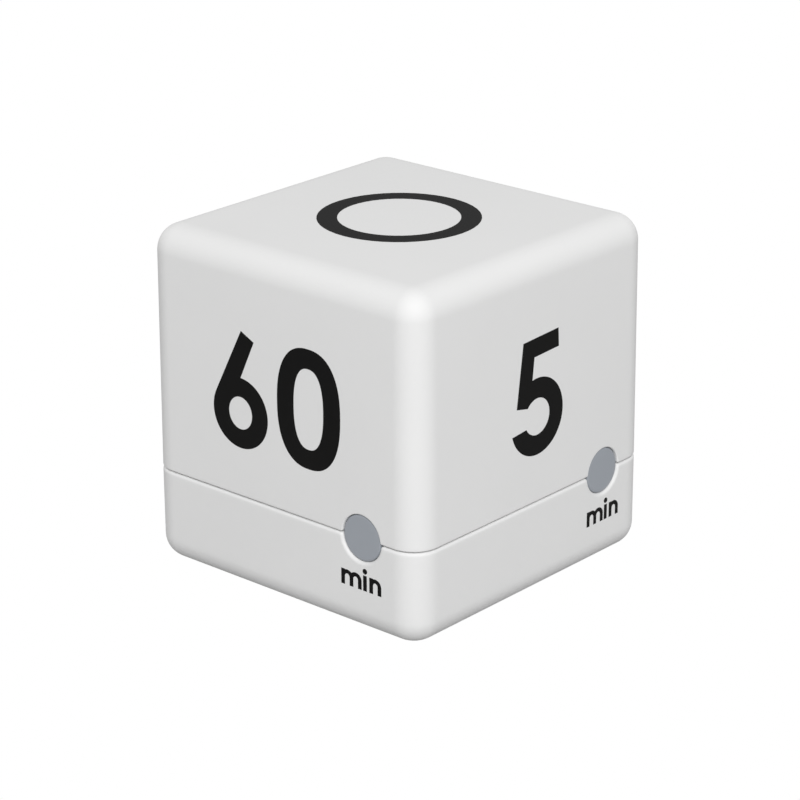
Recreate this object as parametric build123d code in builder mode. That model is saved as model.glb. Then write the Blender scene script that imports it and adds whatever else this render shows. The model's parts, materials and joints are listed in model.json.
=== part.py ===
"""Cube kitchen timer: turn a number upwards and it counts those minutes down.

Row frame: +Z up, the origin at the middle of the underside, millimetres.
-Y is the 60 minute side, +X the 5 minute side, +Y the 15 minute side and -X the 30 minute side.
The display, the switch, the sound holes and the battery door are on the underside.
"""

import os
from math import cos, radians, sin

from build123d import *

# Housing
CUBE = 61.0
EDGE_R = 5.0
TOP_R = 4.9
BOTTOM_R = 4.0
WALL = 2.0
TOP_WALL = 2.2
DRAFT = 0.4
SEAM_Z = 17.2
SEAM_GAP = 0.25
RIM_ROUND = 0.5
TONGUE = 0.9
TONGUE_RISE = 1.6
TONGUE_PLAY = 0.1
BASE_RIM_Z = SEAM_Z - SEAM_GAP / 2
UPPER_RIM_Z = SEAM_Z + SEAM_GAP / 2
INNER = CUBE - 2 * WALL
INNER_R = EDGE_R - WALL

# Light windows, one at the right-hand end of each side, astride the seam
MINUTES = ("60", "5", "15", "30")
WINDOW_OFFSET = 18.4
WINDOW_HOLE_R = 4.15
WINDOW_PLAY = 0.1
WINDOW_INSET = 0.25
FLANGE_R = 5.2
FLANGE = 1.0
FLANGE_PLAY = 0.1

# Corner screws that hold the two shells together
CORNER = 22.6
BOSS_R = 3.4
BOSS_TOP_Z = 12.0
RIB = 1.6
WELL_R = 2.4
WELL_DEPTH = 8.0
POST_R = 3.2
POST_FOOT_Z = 12.2
SCREW_CORE_R = 1.1
SCREW_TIP_Z = 20.0

# Battery bay, two AAA cells side by side
CELL_R = 5.25
CELL_LENGTH = 44.5
NUB_R = 1.9
NUB_LENGTH = 0.9
JACKET = 0.15
JACKET_PLAY = 0.02
CELL_Y = 5.5
CELL_Z = 7.6
BAY_HALF_X = 25.6
BAY_HALF_Y = 11.0
BAY_WALL_X = 1.2
BAY_WALL_Y = 1.5
BAY_ROOF_Z = 13.2
ROOF = 1.2
MOUTH_HALF_X = 23.8
LEDGE_TOP_Z = 2.9
SHEET = 0.3
WIRE_R = 0.25
SPRING_R = 2.6
SPRING_TURNS = 3.5

# Battery door
DOOR_HALF_X = 25.0
DOOR_HALF_Y = 11.75
DOOR_LOW_Z = 0.1
DOOR_TOP_Z = 1.6
DOOR_PLAY = 0.15
RECESS_Z = 1.7
TAB_R = 4.0
TAB_Y = -14.5
DOOR_SCREW_TIP_Z = 4.2
DOOR_SCREW_R = 0.8
DOOR_SCREW_HEAD_R = 1.9
DOOR_PILOT_R = 1.25
HOOK_X = 20.0
HOOK_WIDTH = 5.0
HOOK_ROOT_Y = 9.9
HOOK_TIP_Y = 13.0
HOOK_TOP_Z = 3.15
DOOR_SEAT_Z = 1.0

# Display
LCD_Y = 20.0
LCD_X_SIZE = 29.0
LCD_Y_SIZE = 13.0
GLASS = 1.1
LCD_LOW_Z = 2.2
VIEW_X = 24.0
VIEW_Y = 9.0
LENS_X = 27.0
LENS_Y = 11.4
LENS_LOW_Z = 0.2
LENS = 1.2
TAPE = 0.15
FRAME_X = 31.0
LCD_LEDGE = 2.4
SHELF_Z = 4.6
RIBBON_X = 23.0
RIBBON = 0.15
FRAME_LOW_Z = 2.7
FRAME_NEAR_Y = 12.6
FRAME_FAR_Y = 27.5

# Circuit board
BOARD_HALF = 25.7
BOARD_NOTCH = 18.9
BOARD_Z = 15.0
BOARD = 1.6
BOARD_TOP_Z = BOARD_Z + BOARD
BOARD_SCREWS = ((20.0, 0.0), (-20.0, 0.0), (0.0, -22.0))
BLOB_R = 3.5
BLOB = 1.4
LED_DISTANCE = 24.2
LED_OFFSET = 17.0

# Switch
SWITCH_X = -12.0
SWITCH_Y = -19.5
SWITCH_TRAVEL = 2.5
SWITCH_CASE_Z = 11.4
SLIDER_X = 3.6
LEVER = 1.5
LEVER_LOW_Z = 7.7
KNOB_PLATE_X = 10.0
KNOB_X = 4.4
KNOB_LOW_Z = 0.25

# Buzzer
BUZZER_X = 13.0
BUZZER_Y = -19.5
BUZZER_R = 6.0
BUZZER_LOW_Z = 6.5

# Tilt switches, lying on the board with their outer ends raised
TILT = 12.0
CAN_R = 2.1
CAN_WALL = 0.2
BALL_R = 1.8
BALL_TRAVEL = 2.2
HEADER = 2.0
PIN_R = 0.25
PIN_PITCH = 0.9
PIN_REACH = 0.4
CAN_LENGTH = HEADER + PIN_REACH + 2 * BALL_R + BALL_TRAVEL + 0.1 + CAN_WALL
TILT_OFFSET = 7.0
TILT_START = 3.0
TILT_Z = 19.7


def save(piece, name):
    """Labels a finished sub-part and writes its STEP file."""
    piece.part.label = name
    export_step(piece.part, f"parts/{name}.step")


def side_planes(distance, offset, z, turns=range(4)):
    """A plane on each side of the cube, facing outwards, its x axis to the viewer's right."""
    planes = []
    for turn in turns:
        outward = Vector(0, -1, 0).rotate(Axis.Z, 90 * turn)
        rightward = Vector(1, 0, 0).rotate(Axis.Z, 90 * turn)
        origin = outward * distance + rightward * offset + Vector(0, 0, z)
        planes.append(Plane(origin=origin, x_dir=rightward, z_dir=outward))
    return planes


def corner_points():
    """The four corner screw axes."""
    return [(x, y) for x in (-CORNER, CORNER) for y in (-CORNER, CORNER)]


def rounded_block(side, low, high, radius, end_radius, open_end, taper=0.0):
    """A square block with its upright edges rounded, and then the edges of its closed end."""
    with BuildPart() as block:
        with BuildSketch(Plane.XY.offset(low)):
            Rectangle(side, side)
        extrude(amount=high - low, taper=taper)
        fillet(block.edges().group_by(Axis.Z)[1], radius)
        closed = 0 if open_end == "top" else -1
        fillet(block.faces().sort_by(Axis.Z)[closed].edges(), end_radius)
    return block.part


def make_upper_shell():
    """The five-sided upper housing, with its corner posts and the groove for the base's tongue."""
    body = rounded_block(CUBE, UPPER_RIM_Z, CUBE, EDGE_R, TOP_R, "bottom", DRAFT)
    roof_z = CUBE - TOP_WALL
    cavity = rounded_block(INNER, UPPER_RIM_Z - 1, roof_z, INNER_R, TOP_R - WALL, "bottom", DRAFT)
    with BuildPart() as shell:
        add(body)
        add(cavity, mode=Mode.SUBTRACT)
        with BuildSketch(Plane.XY.offset(UPPER_RIM_Z)):
            groove = INNER + 2 * (TONGUE + TONGUE_PLAY)
            RectangleRounded(groove, groove, INNER_R + TONGUE)
        extrude(amount=TONGUE_RISE + TONGUE_PLAY, mode=Mode.SUBTRACT)
        with BuildSketch(*side_planes(INNER / 2 - 1, WINDOW_OFFSET, SEAM_Z)):
            Circle(WINDOW_HOLE_R)
        extrude(amount=WALL + 2, mode=Mode.SUBTRACT)
        with BuildSketch(Plane.XY.offset(POST_FOOT_Z)):
            with Locations(*corner_points()):
                Circle(POST_R)
        extrude(amount=CUBE - TOP_WALL / 2 - POST_FOOT_Z)
        rib_low = UPPER_RIM_Z + 8
        with BuildSketch(Plane.XY.offset(rib_low)):
            reach = INNER / 2 - CORNER
            for x, y in corner_points():
                with Locations((x + (reach / 2 if x > 0 else -reach / 2), y)):
                    Rectangle(reach, 1.2)
                with Locations((x, y + (reach / 2 if y > 0 else -reach / 2))):
                    Rectangle(1.2, reach)
        extrude(amount=CUBE - TOP_WALL / 2 - rib_low)
        with BuildSketch(Plane.XY.offset(POST_FOOT_Z)):
            with Locations(*corner_points()):
                Circle(SCREW_CORE_R + 0.05)
        extrude(amount=12, mode=Mode.SUBTRACT)
    save(shell, "upper_shell")


def door_outline(play):
    """The battery door's outline, grown by play: a rounded plate with a round-ended tab."""
    neck_y = 1 - DOOR_HALF_Y
    RectangleRounded(2 * (DOOR_HALF_X + play), 2 * (DOOR_HALF_Y + play), 1.2)
    with Locations((0, (TAB_Y + neck_y) / 2)):
        Rectangle(2 * (TAB_R + play), neck_y - TAB_Y)
    with Locations((0, TAB_Y)):
        Circle(TAB_R + play)


def make_base_shell():
    """The base tray: floor, tongue, battery bay, screw bosses and the openings in the floor."""
    bay_outer_x = 2 * (BAY_HALF_X + BAY_WALL_X)
    bay_outer_y = 2 * (BAY_HALF_Y + BAY_WALL_Y)
    body = rounded_block(CUBE, 0, BASE_RIM_Z, EDGE_R, BOTTOM_R, "top")
    cavity = rounded_block(INNER, WALL, CUBE, INNER_R, BOTTOM_R - WALL, "top")
    with BuildPart() as shell:
        add(body)
        fillet(shell.edges().group_by(Axis.Z)[-1], RIM_ROUND)
        add(cavity, mode=Mode.SUBTRACT)

        # Tongue that stands inside the upper shell's groove
        with BuildSketch(Plane.XY.offset(BASE_RIM_Z - 2)):
            RectangleRounded(INNER + 2 * TONGUE, INNER + 2 * TONGUE, INNER_R + TONGUE)
            RectangleRounded(INNER, INNER, INNER_R, mode=Mode.SUBTRACT)
        extrude(amount=2 + TONGUE_RISE)
        with BuildSketch(*side_planes(INNER / 2 - 2, WINDOW_OFFSET, BASE_RIM_Z + TONGUE_RISE)):
            Rectangle(2 * FLANGE_R + 0.6, 2 * TONGUE_RISE)
        extrude(amount=2 + 1.2 * TONGUE, mode=Mode.SUBTRACT)
        with BuildSketch(*side_planes(INNER / 2 - 1, WINDOW_OFFSET, SEAM_Z)):
            Circle(WINDOW_HOLE_R)
        extrude(amount=WALL + 2, mode=Mode.SUBTRACT)

        # Corner bosses and the ribs behind the light windows
        with BuildSketch(Plane.XY.offset(WALL / 2)):
            with Locations(*corner_points()):
                Circle(BOSS_R)
        extrude(amount=BOSS_TOP_Z - WALL / 2)
        rib_back = INNER / 2 - FLANGE_PLAY - FLANGE - 0.2
        with BuildSketch(*side_planes(rib_back - RIB, CORNER - 2.6, (WALL / 2 + BOSS_TOP_Z) / 2)):
            Rectangle(8, BOSS_TOP_Z - WALL / 2)
        extrude(amount=RIB)

        # Battery bay
        with BuildSketch(Plane.XY.offset(WALL / 2)):
            Rectangle(bay_outer_x, bay_outer_y)
        extrude(amount=BAY_ROOF_Z + ROOF - WALL / 2)
        with BuildSketch(Plane.XY.offset(LEDGE_TOP_Z)):
            Rectangle(2 * BAY_HALF_X, 2 * BAY_HALF_Y)
        extrude(amount=BAY_ROOF_Z - LEDGE_TOP_Z, mode=Mode.SUBTRACT)
        with BuildSketch(Plane.XY):
            Rectangle(2 * MOUTH_HALF_X, 2 * BAY_HALF_Y)
        extrude(amount=LEDGE_TOP_Z, mode=Mode.SUBTRACT)

        # Cradle ribs on the bay's roof, hollowed to the cells' curve
        with BuildSketch(*[Plane.YZ.offset(x) for x in (-12.0, 10.5)]):
            with Locations((0, (BAY_ROOF_Z + 9) / 2)):
                Rectangle(2 * BAY_HALF_Y, BAY_ROOF_Z - 9)
            with Locations((-CELL_Y, CELL_Z), (CELL_Y, CELL_Z)):
                Circle(CELL_R + 0.1, mode=Mode.SUBTRACT)
        extrude(amount=1.5)

        # Pads under the door's tab and its screw, and the board's three screw pillars
        with BuildSketch(Plane.XY.offset(WALL / 2)):
            with Locations((0, (TAB_Y - TAB_R - 1.2 - BAY_HALF_Y) / 2)):
                Rectangle(2 * TAB_R + 2.4, TAB_R + 1.2 - TAB_Y - BAY_HALF_Y)
        extrude(amount=LEDGE_TOP_Z + 0.3 - WALL / 2)
        with BuildSketch(Plane.XY.offset(WALL / 2)):
            with Locations((0, TAB_Y)):
                Circle(DOOR_PILOT_R + 1.1)
        extrude(amount=7 - WALL / 2)
        with BuildSketch(Plane.XY.offset(BAY_ROOF_Z - 2)):
            with Locations(*BOARD_SCREWS[:2]):
                Circle(1.7)
        extrude(amount=BOARD_Z - BAY_ROOF_Z + 2)
        with BuildSketch(Plane.XY.offset(WALL / 2)):
            with Locations(BOARD_SCREWS[2]):
                Circle(2.2)
        extrude(amount=BOARD_Z - WALL / 2)
        with BuildSketch(Plane.XY.offset(BAY_ROOF_Z - 1.2)):
            with Locations(*BOARD_SCREWS):
                Circle(0.8)
        extrude(amount=4, mode=Mode.SUBTRACT)

        # Ring that seats the buzzer's gasket
        with BuildSketch(Plane.XY.offset(WALL / 2)):
            with Locations((BUZZER_X, BUZZER_Y)):
                Circle(BUZZER_R + 0.2)
                Circle(BUZZER_R - 0.8, mode=Mode.SUBTRACT)
        extrude(amount=WALL / 2 + 0.6)

        # Recess for the door, with slots for its hooks and a pilot hole for its screw
        with BuildSketch(Plane.XY):
            door_outline(DOOR_PLAY)
        extrude(amount=RECESS_Z, mode=Mode.SUBTRACT)
        with BuildSketch(Plane.XY.offset(RECESS_Z)):
            with Locations((-HOOK_X, BAY_HALF_Y + 0.5), (HOOK_X, BAY_HALF_Y + 0.5)):
                Rectangle(HOOK_WIDTH + 0.6, 3.2)
        extrude(amount=3, mode=Mode.SUBTRACT)
        with BuildSketch(Plane.XY):
            with Locations((-HOOK_X, BAY_HALF_Y - 0.3), (HOOK_X, BAY_HALF_Y - 0.3)):
                Rectangle(HOOK_WIDTH + 0.6, 1.6)
        extrude(amount=RECESS_Z, mode=Mode.SUBTRACT)
        with BuildSketch(Plane.XY):
            with Locations((0, TAB_Y)):
                Circle(DOOR_PILOT_R)
        extrude(amount=5.6, mode=Mode.SUBTRACT)

        # Screw wells
        with BuildSketch(Plane.XY):
            with Locations(*corner_points()):
                Circle(WELL_R)
        extrude(amount=WELL_DEPTH, mode=Mode.SUBTRACT)
        with BuildSketch(Plane.XY):
            with Locations(*corner_points()):
                Circle(SCREW_CORE_R + 0.3)
        extrude(amount=BOSS_TOP_Z, mode=Mode.SUBTRACT)

        # Display opening and the pocket for its lens
        with BuildSketch(Plane.XY):
            with Locations((0, LCD_Y)):
                RectangleRounded(VIEW_X, VIEW_Y, 0.8)
        extrude(amount=WALL, mode=Mode.SUBTRACT)
        with BuildSketch(Plane.XY):
            with Locations((0, LCD_Y)):
                RectangleRounded(LENS_X + 0.2, LENS_Y + 0.2, 1.1)
        extrude(amount=LENS_LOW_Z + LENS + TAPE, mode=Mode.SUBTRACT)

        # Switch slot in its finger recess
        with BuildSketch(Plane.XY):
            with Locations((SWITCH_X, SWITCH_Y)):
                SlotOverall(13, 6)
        extrude(amount=1, mode=Mode.SUBTRACT)
        with BuildSketch(Plane.XY):
            with Locations((SWITCH_X, SWITCH_Y)):
                Rectangle(4.4 + SWITCH_TRAVEL + 0.4, 3.4)
        extrude(amount=WALL, mode=Mode.SUBTRACT)

        # Sound holes
        with BuildSketch(Plane.XY):
            with Locations((BUZZER_X, BUZZER_Y)):
                Circle(0.75)
                with PolarLocations(3.0, 6):
                    Circle(0.75)
        extrude(amount=WALL, mode=Mode.SUBTRACT)

        # Slots in the bay's roof for the contacts' solder tabs
        with BuildSketch(Plane.XY.offset(BAY_ROOF_Z)):
            with Locations((BAY_HALF_X - 0.2, CELL_Y), (BAY_HALF_X - 0.2, -CELL_Y)):
                Rectangle(0.4, 2.4)
        extrude(amount=ROOF, mode=Mode.SUBTRACT)
    save(shell, "base_shell")


def make_light_windows():
    """Four light windows, each a disc in the wall's hole with a flange behind the wall."""
    for minutes, seat in zip(MINUTES, side_planes(INNER / 2 - FLANGE_PLAY, WINDOW_OFFSET, SEAM_Z)):
        with BuildPart() as window:
            with BuildSketch(seat):
                Circle(WINDOW_HOLE_R - WINDOW_PLAY)
            extrude(amount=WALL + FLANGE_PLAY - WINDOW_INSET)
            front = window.faces().sort_by_distance(seat.origin)[-1]
            fillet(front.edges(), 0.25)
            with BuildSketch(seat):
                Circle(FLANGE_R)
            extrude(amount=-FLANGE)
        save(window, f"light_window_{minutes}")


def cross_recess(z, size, depth, centres):
    """The cross recesses that a screwdriver needs, rising from z at each centre."""
    with BuildSketch(Plane.XY.offset(z)) as cross:
        with Locations(*centres):
            Rectangle(size, size / 4)
            Rectangle(size / 4, size)
    return extrude(cross.sketch, amount=depth, mode=Mode.PRIVATE)


def make_housing_screws():
    """The four long screws that come up through the base's wells into the upper shell's posts."""
    cross = cross_recess(WELL_DEPTH - 1.7, 2.6, 0.9, corner_points())
    with BuildPart() as screws:
        with BuildSketch(Plane.XY.offset(WELL_DEPTH)):
            with Locations(*corner_points()):
                Circle(WELL_R - 0.3)
        extrude(amount=-1.6)
        chamfer(screws.edges().group_by(Axis.Z)[0], 0.4)
        with BuildSketch(Plane.XY.offset(WELL_DEPTH)):
            with Locations(*corner_points()):
                Circle(SCREW_CORE_R)
        extrude(amount=SCREW_TIP_Z - WELL_DEPTH)
        chamfer(screws.edges().group_by(Axis.Z)[-1], 0.5)
        add(cross, mode=Mode.SUBTRACT)
    save(screws, "housing_screws")


def make_battery_door():
    """The battery door: plate and tab, two hooks that hinge in the bay's wall, two cell ribs."""
    with BuildPart() as door:
        with BuildSketch(Plane.XY.offset(DOOR_LOW_Z)):
            door_outline(0)
        extrude(amount=DOOR_TOP_Z - DOOR_LOW_Z)
        chamfer(door.faces().sort_by(Axis.Z)[0].edges(), 0.25)

        hook = Plane.YZ.offset(HOOK_X - HOOK_WIDTH / 2)
        with BuildSketch(hook, Plane.YZ.offset(-HOOK_X - HOOK_WIDTH / 2)):
            with Locations((HOOK_ROOT_Y + 0.5, (DOOR_TOP_Z - 0.5 + HOOK_TOP_Z) / 2)):
                Rectangle(1, HOOK_TOP_Z - DOOR_TOP_Z + 0.5)
            with Locations(((HOOK_ROOT_Y + HOOK_TIP_Y) / 2, HOOK_TOP_Z - 0.5)):
                Rectangle(HOOK_TIP_Y - HOOK_ROOT_Y, 1)
        extrude(amount=HOOK_WIDTH)

        with BuildSketch(*[Plane.YZ.offset(x) for x in (-9.0, 7.5)]):
            with Locations((0, (DOOR_TOP_Z + 4) / 2)):
                Rectangle(18, 5 - DOOR_TOP_Z)
            with Locations((-CELL_Y, CELL_Z), (CELL_Y, CELL_Z)):
                Circle(CELL_R + 0.15, mode=Mode.SUBTRACT)
        extrude(amount=1.5)

        with BuildSketch(Plane.XY):
            with Locations((0, TAB_Y)):
                Circle(DOOR_SCREW_HEAD_R + 0.2)
        extrude(amount=DOOR_SEAT_Z, mode=Mode.SUBTRACT)
        with BuildSketch(Plane.XY):
            with Locations((0, TAB_Y)):
                Circle(DOOR_SCREW_R + 0.1)
        extrude(amount=DOOR_TOP_Z, mode=Mode.SUBTRACT)
    save(door, "battery_door")


def make_door_screw():
    """The door's captive screw, its head sunk in the tab."""
    cross = cross_recess(DOOR_LOW_Z, 2.2, 0.6, [(0, TAB_Y)])
    with BuildPart() as screw:
        with BuildSketch(Plane.XY.offset(DOOR_SEAT_Z)):
            with Locations((0, TAB_Y)):
                Circle(DOOR_SCREW_HEAD_R)
        extrude(amount=DOOR_LOW_Z + 0.1 - DOOR_SEAT_Z)
        with BuildSketch(Plane.XY.offset(DOOR_SEAT_Z)):
            with Locations((0, TAB_Y)):
                Circle(DOOR_SCREW_R)
        extrude(amount=DOOR_SCREW_TIP_Z - DOOR_SEAT_Z)
        chamfer(screw.edges().group_by(Axis.Z)[-1], 0.3)
        add(cross, mode=Mode.SUBTRACT)
    save(screw, "door_screw")


def make_batteries():
    """Two AAA cells head to tail, each a steel can in a thin printed jacket."""
    for number, way, y in ((1, 1, CELL_Y), (2, -1, -CELL_Y)):
        start = Plane(origin=(-way * CELL_LENGTH / 2, y, CELL_Z), z_dir=(way, 0, 0))
        can_length = CELL_LENGTH - NUB_LENGTH
        with BuildPart() as can:
            with BuildSketch(start):
                Circle(CELL_R - JACKET - JACKET_PLAY)
            extrude(amount=can_length)
            fillet(can.edges().filter_by(GeomType.CIRCLE), 0.5)
            with BuildSketch(start.offset(can_length - 0.5)):
                Circle(NUB_R)
            extrude(amount=NUB_LENGTH + 0.5)
            fillet(can.edges().sort_by(Axis(start.origin, start.z_dir))[-1], 0.3)
        save(can, f"battery_cell_{number}")

        with BuildPart() as jacket:
            with BuildSketch(start.offset(0.6)):
                Circle(CELL_R)
                Circle(CELL_R - JACKET, mode=Mode.SUBTRACT)
            extrude(amount=can_length - 1.2)
        save(jacket, f"battery_jacket_{number}")


def make_contact(name, end, domes, springs, tab_y=None):
    """A contact plate on one end wall of the bay, with its domes, coil springs and solder tab."""
    reach = [*domes, *springs]
    low, high = min(reach) - 4.5, max(reach) + 4.5
    wall = Plane(origin=(end * BAY_HALF_X, 0, 0), x_dir=(0, -end, 0), z_dir=(-end, 0, 0))
    with BuildPart() as plate:
        with BuildSketch(wall):
            with Locations((-end * (low + high) / 2, (LEDGE_TOP_Z + BAY_ROOF_Z - 0.4) / 2)):
                RectangleRounded(high - low, BAY_ROOF_Z - 0.4 - LEDGE_TOP_Z, 1.0)
            if tab_y is not None:
                with Locations((-end * tab_y, (BOARD_Z + CELL_Z) / 2)):
                    Rectangle(2, BOARD_Z - CELL_Z)
        extrude(amount=SHEET)
        if domes:
            with BuildSketch(wall):
                with Locations(*[(-end * y, CELL_Z) for y in domes]):
                    Circle(2.6)
            extrude(amount=BAY_HALF_X - CELL_LENGTH / 2 - 0.02, taper=12)
    save(plate, name)


def make_spring(name, end, y):
    """A coil spring that presses on one cell's flat end."""
    coil = BAY_HALF_X - SHEET - CELL_LENGTH / 2 - 2 * WIRE_R - 0.04
    seat = (end * (BAY_HALF_X - SHEET - WIRE_R - 0.02), y, CELL_Z)
    with BuildPart() as spring:
        with BuildLine() as path:
            Helix(coil / SPRING_TURNS, coil, SPRING_R, center=seat, direction=(-end, 0, 0))
        with BuildSketch(Plane(origin=path.line @ 0, z_dir=path.line % 0)):
            Circle(WIRE_R)
        sweep(path=path.line, is_frenet=True)
    save(spring, name)


def make_display():
    """Lens, tape, polariser, the two glasses, reflector, ribbon and the frame that holds them."""
    glass_near = LCD_Y - LCD_Y_SIZE / 2
    glass_far = LCD_Y + LCD_Y_SIZE / 2
    rear_near = glass_near + LCD_LEDGE

    with BuildPart() as lens:
        with BuildSketch(Plane.XY.offset(LENS_LOW_Z)):
            with Locations((0, LCD_Y)):
                RectangleRounded(LENS_X, LENS_Y, 1.0)
        extrude(amount=LENS)
        chamfer(lens.faces().sort_by(Axis.Z)[0].edges(), 0.3)
    save(lens, "display_lens")

    with BuildPart() as tape:
        with BuildSketch(Plane.XY.offset(LENS_LOW_Z + LENS)):
            with Locations((0, LCD_Y)):
                RectangleRounded(LENS_X - 0.4, LENS_Y - 0.4, 0.8)
                Rectangle(VIEW_X + 0.4, VIEW_Y + 0.4, mode=Mode.SUBTRACT)
        extrude(amount=TAPE)
    save(tape, "lens_tape")

    layers = (
        ("lcd_polariser", WALL, LCD_LOW_Z, glass_near + 0.6, glass_far - 0.6, LCD_X_SIZE - 1.2),
        ("lcd_front_glass", LCD_LOW_Z, LCD_LOW_Z + GLASS, glass_near, glass_far, LCD_X_SIZE),
        ("lcd_rear_glass", LCD_LOW_Z + GLASS, LCD_LOW_Z + 2 * GLASS, rear_near, glass_far, LCD_X_SIZE),
        ("lcd_reflector", LCD_LOW_Z + 2 * GLASS, SHELF_Z, rear_near + 0.3, glass_far - 0.3, 28.0),
    )
    for name, low, high, near, far, width in layers:
        with BuildPart() as layer:
            with BuildSketch(Plane.XY.offset(low)):
                with Locations((0, (near + far) / 2)):
                    Rectangle(width, far - near)
            extrude(amount=high - low)
        save(layer, name)

    ledge_z = LCD_LOW_Z + GLASS
    with BuildPart() as ribbon:
        with BuildSketch(Plane.YZ.offset(-RIBBON_X / 2)):
            with Locations((glass_near + 1.1, ledge_z + RIBBON / 2)):
                Rectangle(1.8, RIBBON)
            with Locations((glass_near + 0.2 + RIBBON / 2, (ledge_z + BOARD_Z) / 2)):
                Rectangle(RIBBON, BOARD_Z - ledge_z)
            with Locations((glass_near + 1.1, BOARD_Z - RIBBON / 2)):
                Rectangle(1.8, RIBBON)
        extrude(amount=RIBBON_X)
    save(ribbon, "lcd_ribbon")

    with BuildPart() as frame:
        with BuildSketch(Plane.XY.offset(FRAME_LOW_Z)):
            with Locations((0, (FRAME_NEAR_Y + FRAME_FAR_Y) / 2)):
                Rectangle(FRAME_X, FRAME_FAR_Y - FRAME_NEAR_Y)
            with Locations((0, LCD_Y)):
                Rectangle(LCD_X_SIZE + 0.1, LCD_Y_SIZE + 0.1, mode=Mode.SUBTRACT)
        extrude(amount=SHELF_Z - FRAME_LOW_Z)
        with BuildSketch(Plane.XY.offset(SHELF_Z)):
            with Locations((0, (FRAME_NEAR_Y + FRAME_FAR_Y) / 2)):
                Rectangle(FRAME_X, FRAME_FAR_Y - FRAME_NEAR_Y)
            with Locations((0, (glass_near + 24) / 2)):
                Rectangle(RIBBON_X + 1.6, 24 - glass_near, mode=Mode.SUBTRACT)
        extrude(amount=1.2)
        with BuildSketch(Plane.XY.offset(SHELF_Z + 1)):
            with Locations(*[(x, y) for x in (-13.8, 13.8) for y in (14.6, 23.8)]):
                Circle(1.4)
        extrude(amount=BOARD_Z - SHELF_Z - 1)
    save(frame, "lcd_frame")


def make_circuit_board():
    """The board, notched round the corner posts, and the three screws that hold it."""
    with BuildPart() as board:
        with BuildSketch(Plane.XY.offset(BOARD_Z)):
            Rectangle(2 * BOARD_HALF, 2 * BOARD_HALF)
            notch = BOARD_HALF - BOARD_NOTCH
            with Locations(*[(x * (BOARD_NOTCH + notch / 2 + 1), y * (BOARD_NOTCH + notch / 2 + 1))
                             for x in (-1, 1) for y in (-1, 1)]):
                RectangleRounded(notch + 2, notch + 2, 0.8, mode=Mode.SUBTRACT)
            with Locations(*BOARD_SCREWS):
                Circle(0.95, mode=Mode.SUBTRACT)
        extrude(amount=BOARD)
    save(board, "circuit_board")

    cross = cross_recess(BOARD_TOP_Z + 0.5, 1.6, 0.6, BOARD_SCREWS)
    with BuildPart() as screws:
        with BuildSketch(Plane.XY.offset(BOARD_TOP_Z)):
            with Locations(*BOARD_SCREWS):
                Circle(1.6)
        extrude(amount=1)
        fillet(screws.edges().group_by(Axis.Z)[-1], 0.35)
        with BuildSketch(Plane.XY.offset(BOARD_TOP_Z)):
            with Locations(*BOARD_SCREWS):
                Circle(0.75)
        extrude(amount=BAY_ROOF_Z + 0.2 - BOARD_TOP_Z)
        add(cross, mode=Mode.SUBTRACT)
    save(screws, "board_screws")


def make_board_parts():
    """What is soldered on top of the board, apart from the tilt switches."""
    with BuildPart() as blob:
        with BuildSketch(Plane.XY.offset(BOARD_TOP_Z)):
            Circle(BLOB_R)
        extrude(amount=BLOB)
        fillet(blob.edges().group_by(Axis.Z)[-1], 0.9 * BLOB)
    save(blob, "processor_blob")

    with BuildPart() as crystal:
        with BuildSketch(Plane(origin=(10, 15, BOARD_TOP_Z + 1.05), z_dir=(1, 0, 0))):
            Circle(1.0)
        extrude(amount=6)
        fillet(crystal.edges().sort_by(Axis.X)[-1], 0.3)
    save(crystal, "crystal_can")

    chips = (
        ("chip_capacitors", ((-13, 15), (-13, 12.5), (13, -13.5), (16.5, -13.5)), 2.0, 1.25, 1.2),
        ("chip_resistors", ((-17, 15), (-17, 12.5), (-12, -12), (-12, -14), (-12, -16)), 1.6, 0.8, 0.5),
    )
    for name, places, length, width, height in chips:
        with BuildPart() as group:
            with BuildSketch(Plane.XY.offset(BOARD_TOP_Z)):
                with Locations(*places):
                    Rectangle(length, width)
            extrude(amount=height)
        save(group, name)

    with BuildPart() as leds:
        with BuildSketch(*side_planes(LED_DISTANCE, LED_OFFSET, BOARD_TOP_Z + 0.7)):
            Rectangle(3.0, 1.4)
        extrude(amount=1.0)
        with BuildSketch(*side_planes(LED_DISTANCE + 1.0, LED_OFFSET, BOARD_TOP_Z + 0.75)):
            Rectangle(2.2, 1.1)
        extrude(amount=0.6, taper=15)
    save(leds, "indicator_leds")


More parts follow.
